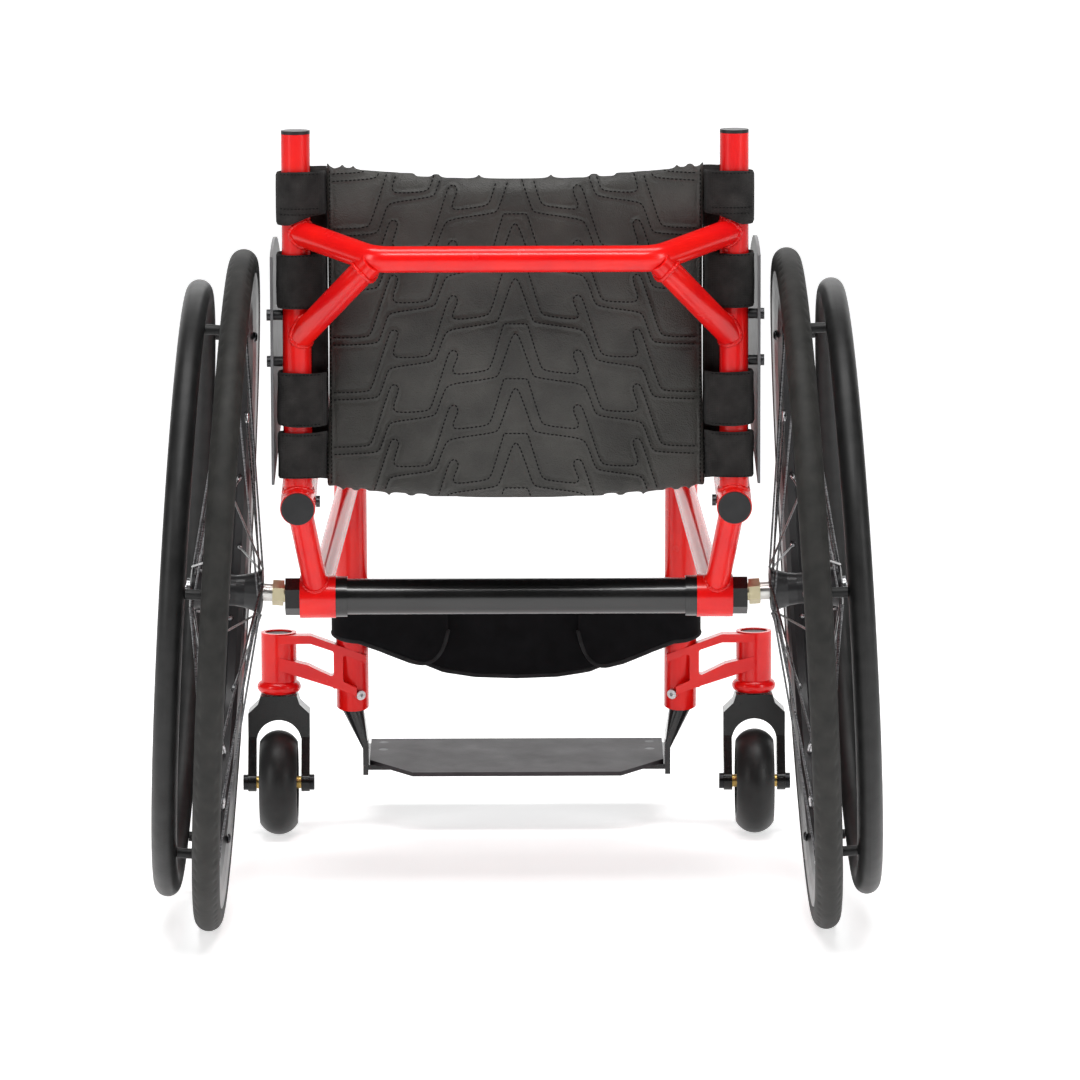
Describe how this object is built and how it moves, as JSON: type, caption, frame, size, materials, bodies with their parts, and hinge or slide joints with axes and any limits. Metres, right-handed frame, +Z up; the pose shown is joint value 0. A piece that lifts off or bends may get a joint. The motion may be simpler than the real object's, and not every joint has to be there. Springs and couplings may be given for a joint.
{
  "type": "manual wheelchair",
  "caption": "Rigid-frame active manual wheelchair with cambered quick-release rear wheels, handrims, fixed back with quilted panel, swivelling casters and a height-adjustable footplate.",
  "frame": {"origin": "on the floor, under the middle of the chair's overall length and width", "axes": "+Y the way the chair drives, +X to the sitter's right, +Z up"},
  "size_m": [0.6454, 0.8642, 0.7205],
  "materials": {
    "red_paint": "glossy bright red powder coat over aluminium tube",
    "black_paint": "black anodised or powder-coated aluminium",
    "zinc": "yellow zinc plated steel",
    "steel": "bright turned steel",
    "black_steel": "black oxide steel",
    "caster_bolt": "black steel bolt with brass-coloured spacers",
    "guard_board": "thin dark composite sheet",
    "plastic": "satin black moulded plastic",
    "tyre_rubber": "matte dark rubber",
    "handrim_coat": "matte black coated hollow handrim",
    "back_leather": "black grained upholstery, quilted",
    "webbing": "black woven webbing and neoprene"
  },
  "bodies": {
    "frame": {"side_frame_left": "red_paint", "side_frame_right": "red_paint", "back_cane_left": "red_paint", "back_cane_right": "red_paint", "back_brace": "red_paint", "brace_stays": "red_paint", "rear_strut_left": "red_paint", "rear_strut_right": "red_paint", "lower_struts": "red_paint", "axle_sleeves": "red_paint", "camber_tube": "black_paint", "camber_collars": "black_paint", "camber_plugs": "black_paint", "axle_receivers": "zinc", "caster_arm_left": "red_paint", "caster_arm_right": "red_paint", "caster_housings": "red_paint", "stem_bearings": "steel", "housing_caps": "plastic", "side_guard_left": "guard_board", "side_guard_right": "guard_board", "guard_bolts": "steel", "guard_spacers": "plastic", "back_panel": "back_leather", "back_straps": "webbing", "seat_sling": "webbing", "calf_strap": "webbing", "tube_caps": "plastic", "cane_bolts": "black_steel", "extension_clamp_bolts": "steel"},
    "footrest": {"extension_tube_left": "black_paint", "extension_tube_right": "black_paint", "footplate": "plastic", "footplate_screws": "black_steel"},
    "axle_left": {"quick_release_axle_left": "steel"},
    "button_left": {"release_button_left": "steel"},
    "wheel_left": {"tyre_left": "tyre_rubber", "rim_left": "black_paint", "spokes_left": "black_steel", "hub_left": "black_paint", "hub_bearings_left": "steel", "handrim_left": "handrim_coat"},
    "fork_left": {"caster_fork_left": "black_paint", "caster_axle_left": "caster_bolt"},
    "caster_left": {"caster_tyre_left": "tyre_rubber", "caster_core_left": "plastic", "caster_bearings_left": "steel"},
    "axle_right": {"quick_release_axle_right": "steel"},
    "button_right": {"release_button_right": "steel"},
    "wheel_right": {"tyre_right": "tyre_rubber", "rim_right": "black_paint", "spokes_right": "black_steel", "hub_right": "black_paint", "hub_bearings_right": "steel", "handrim_right": "handrim_coat"},
    "fork_right": {"caster_fork_right": "black_paint", "caster_axle_right": "caster_bolt"},
    "caster_right": {"caster_tyre_right": "tyre_rubber", "caster_core_right": "plastic", "caster_bearings_right": "steel"}
  },
  "joints": [
    {"name": "wheel_left_release", "type": "slide", "parent": "frame", "child": "axle_left", "axis": [-0.9983, 0, 0.0576], "range_m": [0, 0.16]},
    {"name": "wheel_left_spin", "type": "hinge", "parent": "axle_left", "child": "wheel_left", "pos_m": [-0.2584, -0.12757, 0.30401], "axis": [-0.9983, 0, 0.0576], "continuous": true},
    {"name": "button_left_press", "type": "slide", "parent": "axle_left", "child": "button_left", "axis": [0.9983, 0, -0.0576], "range_m": [0, 0.004], "stiffness_N_per_m": 900},
    {"name": "caster_left_swivel", "type": "hinge", "parent": "frame", "child": "fork_left", "pos_m": [-0.228, 0.32243, 0.1325], "axis": [0, 0, 1], "continuous": true},
    {"name": "caster_left_roll", "type": "hinge", "parent": "fork_left", "child": "caster_left", "pos_m": [-0.228, 0.29442, 0.05], "axis": [1, 0, 0], "continuous": true},
    {"name": "wheel_right_release", "type": "slide", "parent": "frame", "child": "axle_right", "axis": [0.9983, 0, 0.0576], "range_m": [0, 0.16]},
    {"name": "wheel_right_spin", "type": "hinge", "parent": "axle_right", "child": "wheel_right", "pos_m": [0.2584, -0.12757, 0.30401], "axis": [0.9983, 0, 0.0576], "continuous": true},
    {"name": "button_right_press", "type": "slide", "parent": "axle_right", "child": "button_right", "axis": [-0.9983, 0, -0.0576], "range_m": [0, 0.004], "stiffness_N_per_m": 900},
    {"name": "caster_right_swivel", "type": "hinge", "parent": "frame", "child": "fork_right", "pos_m": [0.228, 0.32243, 0.1325], "axis": [0, 0, 1], "continuous": true},
    {"name": "caster_right_roll", "type": "hinge", "parent": "fork_right", "child": "caster_right", "pos_m": [0.228, 0.29442, 0.05], "axis": [1, 0, 0], "continuous": true},
    {"name": "footrest_height", "type": "slide", "parent": "frame", "child": "footrest", "axis": [0, -0.2079, 0.9781], "range_m": [-0.02, 0]}
  ]
}
